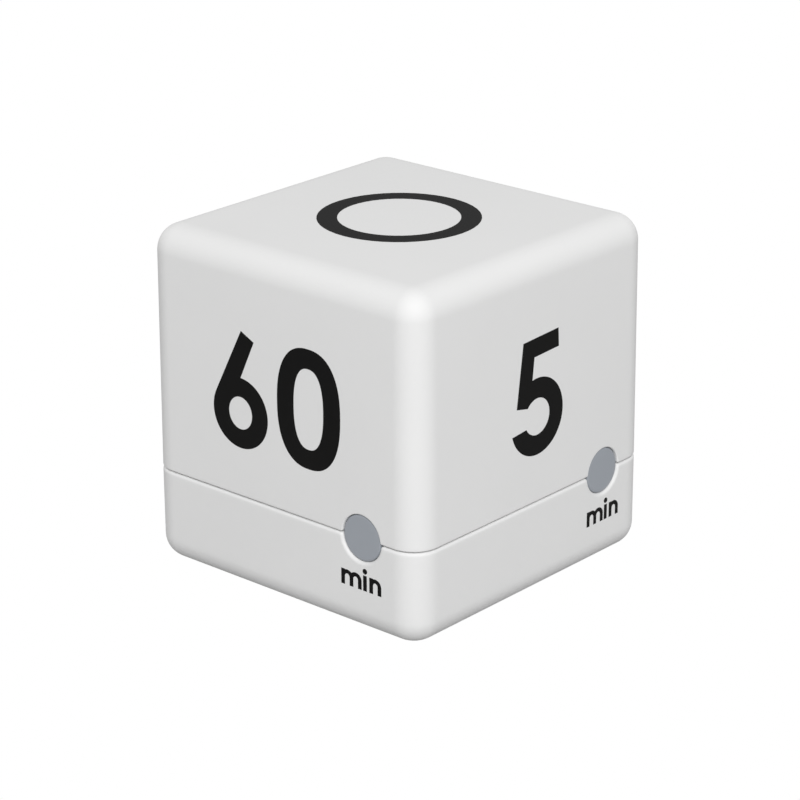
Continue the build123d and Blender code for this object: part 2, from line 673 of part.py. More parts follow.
def make_switch():
    """The slide switch under the board, and the knob that a finger moves through the base."""
    rest_x = SWITCH_X - SWITCH_TRAVEL / 2
    with BuildPart() as case:
        with BuildSketch(Plane.XY.offset(SWITCH_CASE_Z)):
            with Locations((SWITCH_X, SWITCH_Y)):
                Rectangle(8.8, 3.8)
        extrude(amount=BOARD_Z - SWITCH_CASE_Z)
        with BuildSketch(Plane.XY.offset(SWITCH_CASE_Z)):
            with Locations((SWITCH_X, SWITCH_Y)):
                Rectangle(LEVER + SWITCH_TRAVEL + 0.3, LEVER + 0.3)
        extrude(amount=1, mode=Mode.SUBTRACT)
        with BuildSketch(Plane.XY.offset(SWITCH_CASE_Z + 0.5)):
            with Locations((SWITCH_X, SWITCH_Y)):
                Rectangle(SLIDER_X + SWITCH_TRAVEL + 0.3, 2.6)
        extrude(amount=2, mode=Mode.SUBTRACT)
    save(case, "switch_case")

    with BuildPart() as slider:
        with BuildSketch(Plane.XY.offset(SWITCH_CASE_Z + 0.6)):
            with Locations((rest_x, SWITCH_Y)):
                Rectangle(SLIDER_X, 2.3)
        extrude(amount=1.8)
        with BuildSketch(Plane.XY.offset(LEVER_LOW_Z)):
            with Locations((rest_x, SWITCH_Y)):
                Rectangle(LEVER, LEVER)
        extrude(amount=SWITCH_CASE_Z + 1 - LEVER_LOW_Z)
    save(slider, "switch_slider")

    with BuildPart() as leads:
        with BuildSketch(Plane.XY.offset(BOARD_Z - 0.25)):
            with Locations(*[(SWITCH_X + x, SWITCH_Y + 2.5) for x in (-2.5, 0, 2.5)]):
                Rectangle(0.7, 1.2)
        extrude(amount=0.25)
    save(leads, "switch_leads")

    with BuildPart() as knob:
        with BuildSketch(Plane.XY.offset(WALL + 0.1)):
            with Locations((rest_x, SWITCH_Y)):
                RectangleRounded(KNOB_PLATE_X, 5.4, 0.6)
        extrude(amount=0.9)
        with BuildSketch(Plane.XY.offset(KNOB_LOW_Z)):
            with Locations((rest_x, SWITCH_Y)):
                RectangleRounded(KNOB_X, 3.0, 0.5)
        extrude(amount=WALL + 0.5 - KNOB_LOW_Z)
        with BuildSketch(Plane.XY.offset(KNOB_LOW_Z)):
            with Locations(*[(rest_x + x, SWITCH_Y) for x in (-1.2, 0, 1.2)]):
                Rectangle(0.4, 3.0)
        extrude(amount=0.25, mode=Mode.SUBTRACT)
        with BuildSketch(Plane.XY.offset(WALL + 0.5)):
            with Locations(*[(rest_x + side * (LEVER / 2 + 0.6), SWITCH_Y) for side in (-1, 1)]):
                Rectangle(1.0, 2.4)
        extrude(amount=LEVER_LOW_Z + 1.5 - WALL - 0.5)
    save(knob, "switch_knob")


def make_buzzer():
    """The buzzer under the board: gasket, case, diaphragm, magnet, coil, core and base."""
    rings = (
        ("buzzer_gasket", WALL + 0.6, BUZZER_LOW_Z, BUZZER_R, BUZZER_R - 1),
        ("buzzer_magnet", BUZZER_LOW_Z + 1.5, 12.6, 5.3, 4.3),
        ("buzzer_coil", BUZZER_LOW_Z + 2.7, 12.6, 3.6, 1.4),
    )
    for name, low, high, outer, inner in rings:
        with BuildPart() as ring:
            with BuildSketch(Plane.XY.offset(low)):
                with Locations((BUZZER_X, BUZZER_Y)):
                    Circle(outer)
                    Circle(inner, mode=Mode.SUBTRACT)
            extrude(amount=high - low)
        save(ring, name)

    case_top = 14.0
    discs = (
        ("buzzer_diaphragm", ((BUZZER_LOW_Z + 1.4, 0.1, 5.3), (BUZZER_LOW_Z + 1.4, 0.5, 1.6))),
        ("buzzer_core", ((BUZZER_LOW_Z + 2.3, 13.3 - BUZZER_LOW_Z - 2.3, 1.3), (12.6, 0.7, 5.3))),
        ("buzzer_base", ((13.3, BOARD_Z - 13.3, 5.3), (case_top, BOARD_Z - case_top, BUZZER_R))),
    )
    for name, steps in discs:
        with BuildPart() as disc:
            for low, height, radius in steps:
                with BuildSketch(Plane.XY.offset(low)):
                    with Locations((BUZZER_X, BUZZER_Y)):
                        Circle(radius)
                extrude(amount=height)
        save(disc, name)

    with BuildPart() as case:
        with BuildSketch(Plane.XY.offset(BUZZER_LOW_Z)):
            with Locations((BUZZER_X, BUZZER_Y)):
                Circle(BUZZER_R)
        extrude(amount=case_top - BUZZER_LOW_Z)
        for low, radius in ((BUZZER_LOW_Z, 1.2), (BUZZER_LOW_Z + 0.6, 4.9), (BUZZER_LOW_Z + 1.4, 5.35)):
            with BuildSketch(Plane.XY.offset(low)):
                with Locations((BUZZER_X, BUZZER_Y)):
                    Circle(radius)
            extrude(amount=case_top - low, mode=Mode.SUBTRACT)
    save(case, "buzzer_case")


def make_tilt_switches():
    """Four ball tilt switches, one pointing at each side, raised at the outer end."""
    for minutes, side in zip(MINUTES, side_planes(0, TILT_OFFSET, 0)):
        outward = side.z_dir
        along = outward * cos(radians(TILT)) + Vector(0, 0, sin(radians(TILT)))
        middle = side.origin + outward * (TILT_START + CAN_LENGTH / 2) + Vector(0, 0, TILT_Z)
        inner_end = Plane(origin=middle - along * CAN_LENGTH / 2, x_dir=side.x_dir, z_dir=along)

        with BuildPart() as can:
            with BuildSketch(inner_end):
                Circle(CAN_R)
            extrude(amount=CAN_LENGTH)
            fillet(can.edges().sort_by(Axis(inner_end.origin, along))[-1], 0.4)
            with BuildSketch(inner_end):
                Circle(CAN_R - CAN_WALL)
            extrude(amount=CAN_LENGTH - CAN_WALL, mode=Mode.SUBTRACT)
        save(can, f"tilt_can_{minutes}")

        with BuildPart() as header:
            with BuildSketch(inner_end):
                Circle(CAN_R - CAN_WALL)
                with Locations((-PIN_PITCH, 0), (PIN_PITCH, 0)):
                    Circle(PIN_R, mode=Mode.SUBTRACT)
            extrude(amount=HEADER)
        save(header, f"tilt_header_{minutes}")

        leg_foot = inner_end.origin - along * 0.6
        with BuildPart() as pins:
            with BuildSketch(inner_end.offset(-0.6)):
                with Locations((-PIN_PITCH, 0), (PIN_PITCH, 0)):
                    Circle(PIN_R)
            extrude(amount=HEADER + 0.6 + PIN_REACH)
            leg = Plane(origin=(leg_foot.X, leg_foot.Y, BOARD_TOP_Z), x_dir=side.x_dir, z_dir=(0, 0, 1))
            with BuildSketch(leg):
                with Locations((-PIN_PITCH, 0), (PIN_PITCH, 0)):
                    Circle(1.25 * PIN_R)
            extrude(amount=leg_foot.Z - BOARD_TOP_Z + PIN_R)
        save(pins, f"tilt_pins_{minutes}")

        rest = inner_end.origin + along * (HEADER + PIN_REACH + BALL_R)
        with BuildPart() as ball:
            with BuildSketch(Plane(origin=rest, x_dir=side.x_dir, z_dir=outward)):
                with BuildLine():
                    arc = CenterArc((0, 0), BALL_R, -90, 180)
                    Line(arc @ 1, arc @ 0)
                make_face()
            revolve(axis=Axis(rest, (0, 0, 1)))
        save(ball, f"tilt_ball_{minutes}")


os.makedirs("parts", exist_ok=True)
make_upper_shell()
make_base_shell()
make_light_windows()
make_housing_screws()
make_battery_door()
make_door_screw()
make_batteries()
make_contact("contact_positive", 1, [CELL_Y], [], CELL_Y)
make_contact("contact_negative", 1, [], [-CELL_Y], -CELL_Y)
make_contact("contact_bridge", -1, [-CELL_Y], [CELL_Y])
make_spring("spring_1", 1, -CELL_Y)
make_spring("spring_2", -1, CELL_Y)
make_display()
make_circuit_board()
make_board_parts()
make_switch()
make_buzzer()
make_tilt_switches()
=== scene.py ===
# %% [markdown]
# # A cube kitchen timer
#
# The real timer is a white plastic cube, about as large as a child's building block. Each side
# carries a number of minutes. Turning a number upwards starts that countdown, and turning the 0
# upwards stops it. This lesson dresses the engineering model of that cube: two moulded shells, four
# frosted light windows, printed numerals, and the display and battery door underneath.
#
# The engineering model arrives as a frame that never moves. Visible skins are worked out here as
# surfaces, and every inner part keeps its engineering shape and gets a finish.

# %% Load the frame
import json
from math import acos, asin, cos, degrees, pi, radians, sin, sqrt, tan

import bmesh
import bpy
import numpy as np
from mathutils import Matrix, Vector


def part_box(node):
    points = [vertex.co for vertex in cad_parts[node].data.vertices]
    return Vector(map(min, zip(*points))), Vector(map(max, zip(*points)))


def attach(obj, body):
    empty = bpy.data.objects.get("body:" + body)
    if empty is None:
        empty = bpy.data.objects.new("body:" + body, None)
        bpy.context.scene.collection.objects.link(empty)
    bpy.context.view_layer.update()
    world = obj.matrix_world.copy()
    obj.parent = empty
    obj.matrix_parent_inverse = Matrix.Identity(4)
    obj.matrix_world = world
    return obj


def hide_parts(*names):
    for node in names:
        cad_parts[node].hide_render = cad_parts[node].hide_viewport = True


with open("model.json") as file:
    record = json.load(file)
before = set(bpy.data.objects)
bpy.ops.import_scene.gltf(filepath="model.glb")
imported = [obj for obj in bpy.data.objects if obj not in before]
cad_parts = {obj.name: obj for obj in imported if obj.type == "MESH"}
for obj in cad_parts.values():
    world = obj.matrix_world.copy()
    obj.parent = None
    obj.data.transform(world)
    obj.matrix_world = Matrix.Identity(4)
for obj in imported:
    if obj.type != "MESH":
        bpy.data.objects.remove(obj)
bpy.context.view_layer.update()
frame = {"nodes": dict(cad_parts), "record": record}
scene = bpy.context.scene
nodes = frame["nodes"]
slot_of = {row["node"]: row["material_slot"] for row in frame["record"]["subparts"]}

# %% [markdown]
# ## Measures
#
# Everything below is worked out in millimetres and turned into metres when it becomes a mesh. The
# driving sizes come from the frame: the cube's side from its box, and the seam from the height at
# which the light windows sit, because each window straddles the seam.

# %% Sizes
MM = 0.001
CUBE = 2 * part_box("base_shell")[1][0] / MM
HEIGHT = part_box("upper_shell")[1][2] / MM
window_low, window_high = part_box("light_window_60")
WINDOW_OFFSET = (window_low[0] + window_high[0]) / 2 / MM
SEAM_Z = (window_low[2] + window_high[2]) / 2 / MM
WINDOW_HOLE_R = 4.15
SEAM_GAP = 0.25
WALL = 2.0
TOP_WALL = 2.2
DRAFT = tan(radians(0.4))
CORNER_REACH = 5.2
BOTTOM_REACH = 4.6
CORNER_POWER = 2.1
FLAT = CUBE / 2 - CORNER_REACH
print(f"cube {CUBE:.1f} mm, seam at {SEAM_Z:.2f} mm, windows {WINDOW_OFFSET:.1f} mm from the middle")

# %% [markdown]
# ## The camera
#
# The timer is seen from a little above, turned so that two sides show. A long lens keeps its edges
# nearly parallel. The camera's three axes are worked out from a heading and a height angle, then
# turned by a very small roll, and written straight into its matrix.

# %% Camera
LENS = 127.92
HEADING = radians(41.39)
RAISE = radians(20.97)
ROLL = radians(-0.228)
DISTANCE = 490.9
AIM = np.array([0.0, 0.0, 30.0])
SLIDE_RIGHT, SLIDE_UP = 0.11, -1.93

back = np.array([sin(HEADING) * cos(RAISE), -cos(HEADING) * cos(RAISE), sin(RAISE)])
level_right = np.array([cos(HEADING), sin(HEADING), 0.0])
level_up = np.cross(back, level_right)
right = cos(ROLL) * level_right + sin(ROLL) * level_up
up = cos(ROLL) * level_up - sin(ROLL) * level_right
eye = AIM + back * DISTANCE + level_right * SLIDE_RIGHT + level_up * SLIDE_UP

camera_data = bpy.data.cameras.new("camera")
camera_data.lens = LENS
camera_data.sensor_width = 36.0
camera = bpy.data.objects.new("camera", camera_data)
camera.matrix_world = Matrix(
    [[*row, place * MM] for row, place in zip(np.column_stack([right, up, back]), eye)] + [[0, 0, 0, 1]]
)
scene.collection.objects.link(camera)
scene.camera = camera
print("camera at", np.round(eye, 1), "mm")

# %% [markdown]
# ## Meshes from grids
#
# A surface here is an array of points with rows and columns. Neighbouring rows and columns make one
# quad. Where a row closes on itself the last column joins the first, and where a whole row is one
# point it becomes a pole: merging the doubles turns its quads into triangles.

# %% Grid helpers


def grid_mesh(name, points):
    """Makes a mesh from points[row, column, xyz] in millimetres, the columns running round."""
    rows, columns, _ = points.shape
    index = np.arange(rows * columns).reshape(rows, columns)
    index = np.hstack([index, index[:, :1]])
    quads = np.stack([index[:-1, :-1], index[:-1, 1:], index[1:, 1:], index[1:, :-1]], axis=-1)
    mesh = bpy.data.meshes.new(name)
    mesh.from_pydata((points.reshape(-1, 3) * MM).tolist(), [], quads.reshape(-1, 4).tolist())
    piece = bpy.data.objects.new(name, mesh)
    scene.collection.objects.link(piece)
    return piece


def close_up(piece, sharp_angle=32):
    """Merges doubles, turns every face outwards and keeps only real corners sharp."""
    form = bmesh.new()
    form.from_mesh(piece.data)
    bmesh.ops.remove_doubles(form, verts=form.verts, dist=2e-7)
    bmesh.ops.dissolve_degenerate(form, edges=form.edges, dist=1e-7)
    bmesh.ops.recalc_face_normals(form, faces=form.faces)
    form.to_mesh(piece.data)
    form.free()
    piece.data.shade_smooth()
    piece.data.set_sharp_from_angle(angle=radians(sharp_angle))
    return piece


def turned(name, profile, centre, axis, count=96):
    """A closed surface of revolution: profile[point, (radius, height)] turned round the axis."""
    height_way = Vector(axis).normalized()
    first = Vector((-height_way.y, height_way.x, 0)) if abs(height_way.z) < 0.9 else Vector((1, 0, 0))
    first.normalize()
    second = height_way.cross(first)
    angle = np.linspace(0, 2 * pi, count, endpoint=False)
    ring = np.outer(np.cos(angle), first) + np.outer(np.sin(angle), second)
    profile = np.array(profile)
    points = profile[:, None, :1] * ring[None] + profile[:, None, 1:] * np.array(height_way)
    return close_up(grid_mesh(name, points + np.array(centre)))


def arc(centre, radius, start, end, count):
    """Points on an arc from one angle to another, in degrees, as an array of (x, y)."""
    angle = np.radians(np.linspace(start, end, count))
    return np.column_stack([centre[0] + radius * np.cos(angle), centre[1] + radius * np.sin(angle)])


# %% [markdown]
# ## The rounded edge
#
# A plain round edge shows a line where the flat stops and the arc starts, because the curvature
# jumps there. Good mouldings ease into the curve. A superellipse does that: x to a power plus y to
# the same power stays equal to one, and with a power a little over two it leaves the flats softly.
# The same law is used in plan and in section, so each corner of the cube is one smooth cap.

# %% Superellipse


def eased_corner(count):
    """A quarter superellipse from (1, 0) to (0, 1), resampled to equal steps along its length."""
    angle = np.linspace(0, pi / 2, 4001)
    x = np.cos(angle) ** (2 / CORNER_POWER)
    y = np.sin(angle) ** (2 / CORNER_POWER)
    x[-1] = y[0] = 0.0
    length = np.concatenate([[0.0], np.cumsum(np.hypot(np.diff(x), np.diff(y)))])
    wanted = np.linspace(0, length[-1], count + 1)
    return np.column_stack([np.interp(wanted, length, x), np.interp(wanted, length, y)])


# %% [markdown]
# ## The path along the seam
#
# Each shell's rim runs round the cube, and on every side it goes over half of a light window's hole.
# The path is a list of columns. Each knows its place along the side, how far it has risen from the
# seam, and which way leads into the plastic, so that the rim's edge can be rounded along the whole
# path, hole included. Where the straight rim meets the hole, a small arc touches both.

# %% Columns round the cube
TONGUE_SPAN = 5.8


def rim_columns(rim_round):
    """The columns of all four sides: place, rise, way into the plastic and the corner's direction."""
    turn = rim_round + 0.12
    gap = SEAM_GAP / 2
    lean = asin((gap + turn) / (WINDOW_HOLE_R + turn))
    span = sqrt((WINDOW_HOLE_R + turn) ** 2 - (gap + turn) ** 2)
    lean_deg = np.degrees(lean)

    before = np.linspace(-FLAT, WINDOW_OFFSET - span, 40, endpoint=False)
    before = np.concatenate([[-FLAT, -FLAT + 0.35], before[1:]])
    near = arc((WINDOW_OFFSET - span, gap + turn), turn, -90, -lean_deg, 8)
    hole = arc((WINDOW_OFFSET, 0), WINDOW_HOLE_R, 180 - lean_deg, lean_deg, 49)[1:-1]
    far = arc((WINDOW_OFFSET + span, gap + turn), turn, 180 + lean_deg, 270, 8)
    after = np.array([*np.linspace(WINDOW_OFFSET + span, FLAT, 6)[1:-1], FLAT - 0.35, FLAT])

    straight = np.array([0.0, 1.0])
    place = np.concatenate([np.column_stack([before, np.full(len(before), gap)]), near, hole, far,
                            np.column_stack([after, np.full(len(after), gap)])])
    inward = np.concatenate([
        np.tile(straight, (len(before), 1)),
        (np.array([WINDOW_OFFSET - span, gap + turn]) - near) / turn,
        (hole - np.array([WINDOW_OFFSET, 0])) / WINDOW_HOLE_R,
        (np.array([WINDOW_OFFSET + span, gap + turn]) - far) / turn,
        np.tile(straight, (len(after), 1)),
    ])
    bend = eased_corner(20)[1:-1]
    sides = []
    for quarter in range(4):
        outward = np.array([[0, -1], [1, 0], [0, 1], [-1, 0]][quarter], float)
        along = np.array([-outward[1], outward[0]])
        flat = {
            "base": FLAT * outward + place[:, :1] * along,
            "way": np.tile(outward, (len(place), 1)),
            "rise": place[:, 1],
            "slide": inward[:, :1] * along,
            "lift": inward[:, 1],
            "tongue": (np.abs(place[:, 0] - WINDOW_OFFSET) > TONGUE_SPAN).astype(float),
        }
        corner = {
            "base": np.tile(FLAT * (outward + along), (len(bend), 1)),
            "way": bend[:, :1] * outward + bend[:, 1:] * along,
            "rise": np.full(len(bend), gap),
            "slide": np.zeros((len(bend), 2)),
            "lift": np.ones(len(bend)),
            "tongue": np.ones(len(bend)),
        }
        sides += [flat, corner]
    return {key: np.concatenate([side[key] for side in sides]) for key in sides[0]}


# %% [markdown]
# ## The shell as a profile carried along that path
#
# A shell's section starts at the middle of the closed face, runs out to the edge, eases round it,
# goes down the side, rounds the rim, steps over the tongue that lines the two shells up, climbs the
# inside and comes back to the middle. Carrying that section along the columns gives a closed wall of
# even thickness. One function serves both shells, because the base is the same thing upside down.

# %% Shell surface


def shell(name, up_or_down, closed_rise, end_reach, floor, draft, rim_round, step_at, step):
    """Rows of the section: pole, flat, eased edge, side, rounded rim, step, inside, pole."""
    columns = rim_columns(rim_round)
    ease = eased_corner(20)

    def row(reach, rise, offset=0.0, shrink=1.0):
        """One ring: base shrunk towards the axis, pushed out by reach and slid by offset."""
        flat = shrink * (columns["base"] + offset * columns["slide"])
        plan = flat + columns["way"] * np.reshape(reach, (-1, 1))
        height = np.broadcast_to(SEAM_Z + up_or_down * np.asarray(rise, float), len(plan))
        return np.column_stack([plan, height])

    def reach_at(rise, depth=0.0):
        """How far the wall stands outside the flat square at a rise, at a depth into the wall."""
        return CUBE / 2 - FLAT - draft * np.asarray(rise, float) - depth

    def cap(top, depth):
        """The flat and its eased edge. Where the draft leaves less room, the bend shrinks to fit."""
        reach = float(reach_at(top - end_reach + depth, depth))
        bend = min(end_reach - depth, reach)
        rings = [row(0.0, top, rim_round, shrink) for shrink in (0.0, 0.3, 0.6, 0.85, 0.97, 0.99)]
        if reach - bend > 0.3:
            rings += [row(0.0, top, rim_round), row((reach - bend) / 2, top, rim_round)]
        rings += [row(reach - bend + bend * x, top - bend + bend * y, rim_round) for x, y in ease[::-1]]
        return rings, top - bend

    rows, side_top = cap(closed_rise, 0.0)
    mid = 7.0
    rows += [row(reach_at(rise), rise, rim_round) for rise in np.linspace(side_top, mid, 5)[1:]]
    edge = columns["rise"] + rim_round * columns["lift"]
    for share in (0.4, 0.75, 0.93):
        rise = mid + share * (edge - mid)
        rows.append(row(reach_at(rise), rise, rim_round))
    for turn in np.radians(np.linspace(0, 90, 8)):
        offset = rim_round * (1 - sin(turn))
        rise = columns["rise"] + offset * columns["lift"]
        rows.append(row(reach_at(rise, rim_round * (1 - cos(turn))), rise, offset))
    low = columns["rise"]
    high = low + step * columns["tongue"]
    rows += [row(reach_at(low, step_at), low), row(reach_at(high, step_at), high)]
    rows += [row(reach_at(high, WALL), high)]
    inside, inside_top = cap(closed_rise - floor, WALL)
    rows += [row(reach_at(rise, WALL), rise) for rise in np.linspace(mid, inside_top, 4)[:-1]]
    rows += inside[::-1]
    return close_up(grid_mesh(name, np.stack(rows)))


upper = shell("upper_housing", 1, HEIGHT - SEAM_Z, CORNER_REACH, TOP_WALL, DRAFT,
              rim_round=0.22, step_at=1.0, step=1.7)
base = shell("base_housing", -1, SEAM_Z, BOTTOM_REACH, WALL, 0.0,
             rim_round=0.6, step_at=1.1, step=-1.6)
print("upper faces", len(upper.data.polygons), "base faces", len(base.data.polygons))

# %% [markdown]
# ## What is moulded into the base
#
# The base has a floor full of openings: the battery door's recess, the display, the screw wells, the
# switch slot and the sound holes. Cutting them one by one into the grid would spoil its even rows.
# Upright prisms are easy to work out, so the base first gains its bay and bosses and then loses the
# openings, each time in one boolean step. A boss starts halfway through the floor, so that it grows
# out of it, and a cut starts below the underside, so that it goes clean through.

# %% Prisms and booleans


def rounded_box(centre, size, radius):
    """An outline of four arcs, one at each corner of a rectangle."""
    x, y = size[0] / 2 - radius, size[1] / 2 - radius
    corners = ((x, y), (-x, y), (-x, -y), (x, -y))
    return np.concatenate([
        arc((centre[0] + cx, centre[1] + cy), radius, 90 * turn, 90 * turn + 90, 9)
        for turn, (cx, cy) in enumerate(corners)
    ])


def disc(centre, radius):
    """An outline of one full circle."""
    return arc(centre, radius, 0, 360, 49)[:-1]


def prism(outline, low, high):
    """A closed upright prism: both ends run in to a pole at the outline's middle."""
    middle = outline.mean(axis=0)
    rings = [(0, low), (1, low), (1, high), (0, high)]
    rows = [np.column_stack([middle + k * (outline - middle), np.full(len(outline), z)]) for k, z in rings]
    return close_up(grid_mesh("prism", np.stack(rows)))


def combine(piece, prisms, operation):
    """One exact boolean with several prisms, which are thrown away after it."""
    tools = bpy.data.collections.new("tools")
    for tool in prisms:
        scene.collection.objects.unlink(tool)
        tools.objects.link(tool)
    step = piece.modifiers.new(operation, "BOOLEAN")
    step.operation = operation
    step.operand_type = "COLLECTION"
    step.collection = tools
    step.solver = "EXACT"
    depsgraph = bpy.context.evaluated_depsgraph_get()
    made = bpy.data.meshes.new_from_object(piece.evaluated_get(depsgraph))
    piece.modifiers.clear()
    piece.data = made
    for tool in prisms:
        bpy.data.objects.remove(tool)
    bpy.data.collections.remove(tools)


# %% The base's bay, bosses and openings
SCREW_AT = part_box("housing_screws")[1][0] / MM - 2.1
SCREWS = [(x, y) for x in (-SCREW_AT, SCREW_AT) for y in (-SCREW_AT, SCREW_AT)]
door_high = np.array(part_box("battery_door")[1]) / MM
screw_low, screw_high = [np.array(corner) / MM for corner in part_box("door_screw")]
lens_low, lens_high = [np.array(corner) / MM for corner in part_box("display_lens")]
buzzer_low, buzzer_high = [np.array(corner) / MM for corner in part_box("buzzer_case")]
case_low, case_high = [np.array(corner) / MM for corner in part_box("switch_case")]
TAB_Y = (screw_low[1] + screw_high[1]) / 2
DOOR_HALF_X, DOOR_HALF_Y = door_high[0], 11.75
LENS_AT = ((lens_low + lens_high) / 2)[:2]
LENS_SIZE = (lens_high - lens_low)[:2]
BUZZER_AT = ((buzzer_low + buzzer_high) / 2)[:2]
SWITCH_AT = ((case_low + case_high) / 2)[:2]
BAY_X, BAY_Y, BAY_TOP = 25.6, 11.0, 13.2
PLAY = 0.15
MID_FLOOR = 1.0
BELOW = -1.0
RECESS_TOP = 1.7
THROUGH = 2.5
BOSS_R, BOSS_TOP = 3.4, 12.0
WELL_R, WELL_TOP = 2.4, 8.0
PILOT_R, PILOT_LOW, PILOT_TOP = 1.4, 7.5, 12.5
SOUND_HOLE_R, SOUND_RING_R = 0.75, 3
HOOK_X = 20

combine(base, [
    prism(rounded_box((0, 0), (2 * BAY_X + 2.4, 2 * BAY_Y + 3), 0.5), MID_FLOOR, BAY_TOP + 1.2),
    prism(rounded_box((0, TAB_Y - 0.85), (10.4, 8.7), 0.5), MID_FLOOR, 3.2),
    prism(disc((0, TAB_Y), 2.35), MID_FLOOR, 7.0),
    prism(disc((0, -22), 2.2), MID_FLOOR, 15.0),
    prism(disc(BUZZER_AT, 6.2), MID_FLOOR, 2.6),
    *[prism(disc(place, BOSS_R), MID_FLOOR, BOSS_TOP) for place in SCREWS],
], "UNION")
combine(base, [
    prism(rounded_box((0, 0), (2 * BAY_X, 2 * BAY_Y), 0.3), 2.9, BAY_TOP),
    prism(rounded_box((0, 0), (47.6, 2 * BAY_Y), 0.3), BELOW, 3.0),
    prism(rounded_box((0, 0), (2 * DOOR_HALF_X + 2 * PLAY, 2 * DOOR_HALF_Y + 2 * PLAY), 1.3),
          BELOW, RECESS_TOP),
    prism(rounded_box((0, TAB_Y / 2), (8 + 2 * PLAY, -TAB_Y + 8 + 2 * PLAY), 4 + PLAY),
          BELOW, RECESS_TOP),
    *[prism(rounded_box((x, BAY_Y + 0.5), (5.6, 3.2), 0.2), RECESS_TOP, 4.7) for x in (-HOOK_X, HOOK_X)],
    prism(disc((0, TAB_Y), 1.25), BELOW, 5.6),
    prism(disc(BUZZER_AT, 5.2), 2.0, 3.0),
    *[prism(disc(place, WELL_R), BELOW, WELL_TOP) for place in SCREWS],
    *[prism(disc(place, PILOT_R), PILOT_LOW, PILOT_TOP) for place in SCREWS],
    prism(rounded_box(LENS_AT, (24, 9), 0.8), BELOW, THROUGH),
    prism(rounded_box(LENS_AT, LENS_SIZE + 0.2, 1.1), BELOW, 1.55),
    prism(rounded_box(SWITCH_AT, (13, 6), 3.0), BELOW, 1.0),
    prism(rounded_box(SWITCH_AT, (7.3, 3.4), 0.3), BELOW, THROUGH),
    prism(disc(BUZZER_AT, SOUND_HOLE_R), BELOW, THROUGH),
    *[prism(disc(BUZZER_AT + SOUND_RING_R * np.array([cos(a), sin(a)]), SOUND_HOLE_R), BELOW, THROUGH)
      for a in np.radians(np.arange(0, 360, 60))],
], "DIFFERENCE")
close_up(base)
print("base faces after its openings", len(base.data.polygons))

# %% [markdown]
# ## Light windows
#
# Each window is a frosted disc that sits a little below the wall's surface, with a soft edge and a
# flange behind the wall. It is turned like a button on a lathe: a section of radius against height,
# spun round the axis that points out of its side.

# %% Windows
DISC_R = 4.09
FLANGE_R = 5.2
SINK = 0.25
EDGE = 0.42
front = CUBE / 2 - SINK
window_section = [
    (0, front + 0.02), (1.5, front + 0.018), (3.0, front + 0.008), (DISC_R - EDGE - 0.1, front),
    *arc((DISC_R - EDGE, front - EDGE), EDGE, 90, 0, 7),
    (DISC_R, front - 1.2), (DISC_R, CUBE / 2 - WALL - 0.1), (FLANGE_R, CUBE / 2 - WALL - 0.1),
    (FLANGE_R, CUBE / 2 - WALL - 1.1), (0, CUBE / 2 - WALL - 1.1),
]
SIDES = {"60": (0, -1), "5": (1, 0), "15": (0, 1), "30": (-1, 0)}
windows = {}
for minutes, (ox, oy) in SIDES.items():
    centre = (-oy * WINDOW_OFFSET, ox * WINDOW_OFFSET, SEAM_Z)
    windows[minutes] = turned(f"window_{minutes}", window_section, centre, (ox, oy, 0))
print("windows:", sorted(windows))

# %% [markdown]
# ## Printed numerals
#
# The numerals are pad printed: a film of ink a few hundredths of a millimetre thick, with crisp
# edges. Each is drawn as a closed outline of straight lines and arcs, in millimetres to the right of
# the side's middle and above the table. A flat curve fills the outline and leaves the counters
# open, and its small extrusion gives the ink its real thickness. The curve becomes a mesh before it
# is laid on its side, which leans by the mould's draft angle.

# %% Ink
INK = 0.03


def printed(name, outlines, quarter=None, draft=0.0):
    """Fills the outlines with ink, and lays it on a side of the cube, or on the top for None."""
    curve = bpy.data.curves.new(name, "CURVE")
    curve.dimensions = "2D"
    curve.fill_mode = "BOTH"
    curve.extrude = INK / 2
    for outline in outlines:
        spline = curve.splines.new("POLY")
        spline.points.add(len(outline) - 1)
        points = np.column_stack([outline, np.zeros(len(outline)), np.ones(len(outline))])
        spline.points.foreach_set("co", points.ravel())
        spline.use_cyclic_u = True
    drawn = bpy.data.objects.new(name, curve)
    scene.collection.objects.link(drawn)
    mesh = bpy.data.meshes.new_from_object(drawn.evaluated_get(bpy.context.evaluated_depsgraph_get()))
    bpy.data.objects.remove(drawn)
    points = np.empty(3 * len(mesh.vertices))
    mesh.vertices.foreach_get("co", points)
    u, v, w = points.reshape(-1, 3).T
    w = w + INK / 2 - 0.008
    if quarter is None:
        laid = np.column_stack([u, v, HEIGHT + w])
    else:
        ox, oy = list(SIDES.values())[quarter]
        distance = CUBE / 2 - draft * (v - SEAM_Z) + w
        laid = np.column_stack([distance * ox - u * oy, distance * oy + u * ox, v])
    mesh.vertices.foreach_set("co", (laid * MM).ravel())
    piece = bpy.data.objects.new(name, mesh)
    scene.collection.objects.link(piece)
    return close_up(piece)


def oval(centre, half_width, half_height, power=2.0, count=96):
    """A closed superellipse: power 2 is a plain ellipse, and more makes it squarer."""
    angle = np.linspace(0, 2 * pi, count, endpoint=False)
    x = np.sign(np.cos(angle)) * np.abs(np.cos(angle)) ** (2 / power)
    y = np.sign(np.sin(angle)) * np.abs(np.sin(angle)) ** (2 / power)
    return np.column_stack([centre[0] + half_width * x, centre[1] + half_height * y])


# %% The figures
STROKE = 3.3


def figure_zero(middle):
    """A tall squared oval with an oval counter."""
    return [oval((middle, 36.78), 7.03, 10.47, 2.4), oval((middle, 36.78), 3.3, 7.03, 2.4)]


def figure_six(middle):
    """A round bowl whose outer edge runs up into a leaning straight stem."""
    bowl = (middle, 32.3)
    return [
        np.concatenate([
            [(middle + 0.42, 46.9)], arc(bowl, 6.27, 151.5, 448.8, 90), [(middle + 3.32, 45.5)],
        ]),
        oval(bowl, 2.66, 2.88),
    ]


